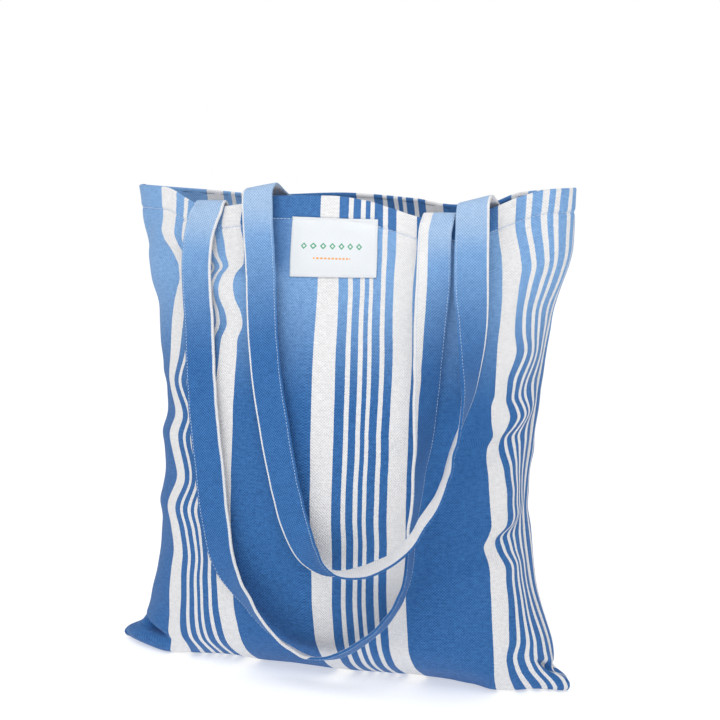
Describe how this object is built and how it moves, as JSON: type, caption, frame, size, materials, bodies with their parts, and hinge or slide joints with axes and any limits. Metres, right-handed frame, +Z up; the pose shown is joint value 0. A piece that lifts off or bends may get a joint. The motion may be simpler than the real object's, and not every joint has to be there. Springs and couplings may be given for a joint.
{
  "type": "tote bag",
  "caption": "Flat-sewn striped cotton tote bag with an open hemmed top, a blank sewn label and two long shoulder straps hanging over the front.",
  "frame": {"origin": "middle of the bounding box, on the ground under the bag", "axes": "+Z up, +X to the right seen from the front, the front panel with the label and the straps faces -Y"},
  "size_m": [0.399, 0.1984, 0.4075],
  "materials": {
    "body_cloth": "matt woven cotton, blue and white stripes",
    "hem_cloth": "matt woven cotton, blue and white stripes",
    "seam_cloth": "matt woven cotton, overlocked edge",
    "strap_cloth": "matt woven cotton, blue outside and white inside",
    "label_satin": "satin weave, slightly glossy",
    "thread": "twisted polyester sewing thread"
  },
  "bodies": {
    "bag": {"front_panel": "body_cloth", "back_panel": "body_cloth", "base_panel": "body_cloth", "front_hem": "hem_cloth", "back_hem": "hem_cloth", "left_side_seam": "seam_cloth", "right_side_seam": "seam_cloth", "front_hem_stitching": "thread", "back_hem_stitching": "thread", "left_seam_stitching": "thread", "right_seam_stitching": "thread", "label": "label_satin", "label_stitching": "thread", "front_strap_left_end": "strap_cloth", "front_strap_right_end": "strap_cloth", "back_strap_left_end": "strap_cloth", "back_strap_right_end": "strap_cloth"},
    "back_strap_bridges": {"back_strap_left_bridge": "strap_cloth", "back_strap_right_bridge": "strap_cloth"},
    "back_strap_loop": {"back_strap": "strap_cloth"},
    "front_strap_loop": {"front_strap": "strap_cloth"}
  },
  "joints": [
    {"name": "back_strap_lift", "type": "hinge", "parent": "bag", "child": "back_strap_bridges", "pos_m": [0.0196, 0.0782, 0.399], "axis": [-0.9995, 0, 0.0326], "range_deg": [0, 90]},
    {"name": "back_strap_unfold", "type": "hinge", "parent": "back_strap_bridges", "child": "back_strap_loop", "pos_m": [0.0406, -0.0058, 0.402], "axis": [-0.9982, -0.0499, 0.0333], "range_deg": [0, 90]},
    {"name": "front_strap_lift", "type": "hinge", "parent": "bag", "child": "front_strap_loop", "pos_m": [0.0011, -0.0003, 0.3895], "axis": [-0.9994, -0.005, 0.0348], "range_deg": [0, 180]}
  ],
  "couplings": [
    {"joint": "back_strap_unfold", "follows": "back_strap_lift", "ratio": 1},
    {"joint": "front_strap_lift", "follows": "back_strap_lift", "ratio": 2}
  ]
}
